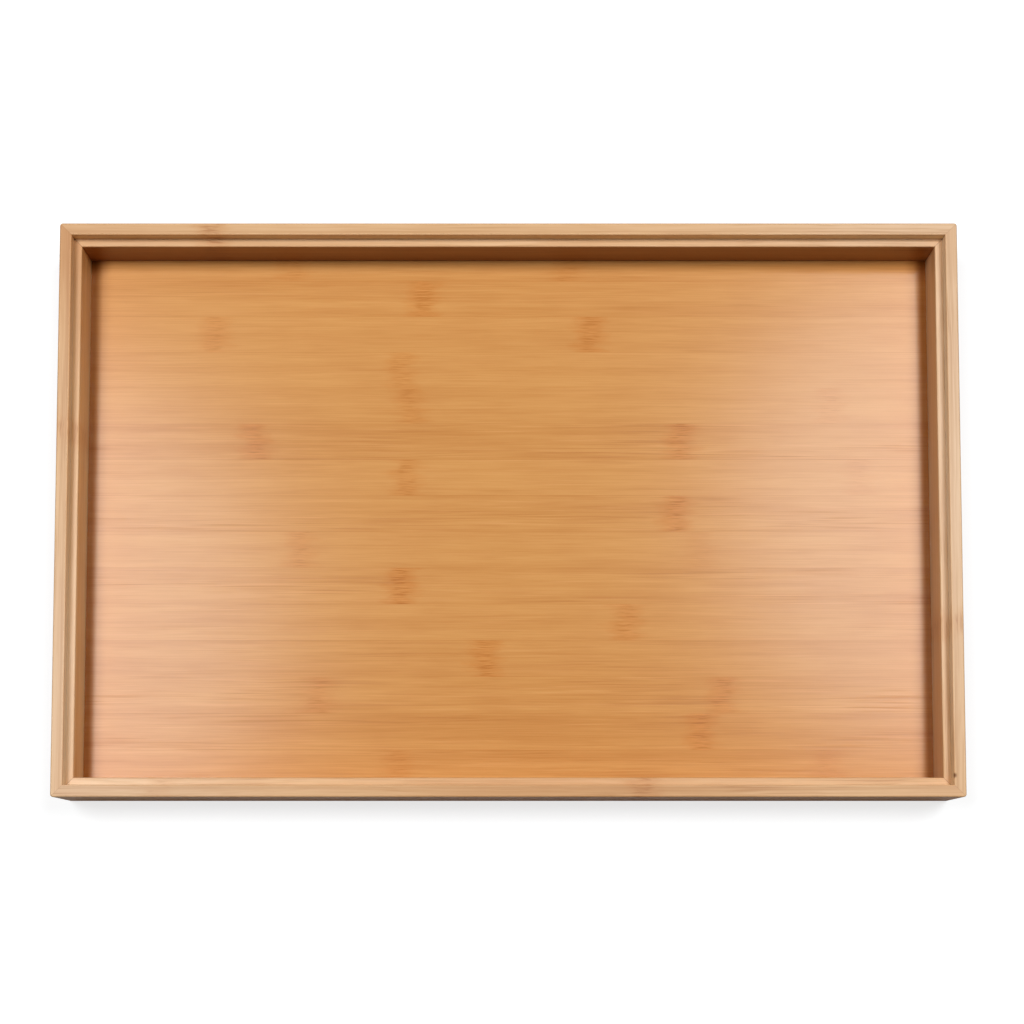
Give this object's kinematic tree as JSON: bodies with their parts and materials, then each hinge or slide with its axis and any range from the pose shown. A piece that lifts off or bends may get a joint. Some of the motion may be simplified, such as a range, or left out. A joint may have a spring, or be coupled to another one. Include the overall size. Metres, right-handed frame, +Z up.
{
  "type": "serving tray",
  "caption": "Rectangular bamboo serving tray: mitred frame with a stepped inner rim round a flat floor of edge-glued strips held in grooves.",
  "frame": {"origin": "middle of the tray's footprint, on the surface it stands on", "axes": "+X to the right along the longest side, +Y to the back, +Z up out of the tray's mouth"},
  "size_m": [0.5, 0.32, 0.05],
  "materials": {
    "rail_bamboo": "light carbonised bamboo, satin lacquer",
    "floor_bamboo": "light carbonised bamboo, semi-gloss lacquer",
    "spline_bamboo": "bare bamboo, glued in"
  },
  "bodies": {
    "root": {"back_left_spline": "spline_bamboo", "back_rail": "rail_bamboo", "back_right_spline": "spline_bamboo", "floor_stave_01": "floor_bamboo", "floor_stave_02": "floor_bamboo", "floor_stave_03": "floor_bamboo", "floor_stave_04": "floor_bamboo", "floor_stave_05": "floor_bamboo", "floor_stave_06": "floor_bamboo", "floor_stave_07": "floor_bamboo", "floor_stave_08": "floor_bamboo", "floor_stave_09": "floor_bamboo", "floor_stave_10": "floor_bamboo", "floor_stave_11": "floor_bamboo", "floor_stave_12": "floor_bamboo", "floor_stave_13": "floor_bamboo", "floor_stave_14": "floor_bamboo", "floor_stave_15": "floor_bamboo", "front_left_spline": "spline_bamboo", "front_rail": "rail_bamboo", "front_right_spline": "spline_bamboo", "left_rail": "rail_bamboo", "right_rail": "rail_bamboo"}
  },
  "joints": []
}
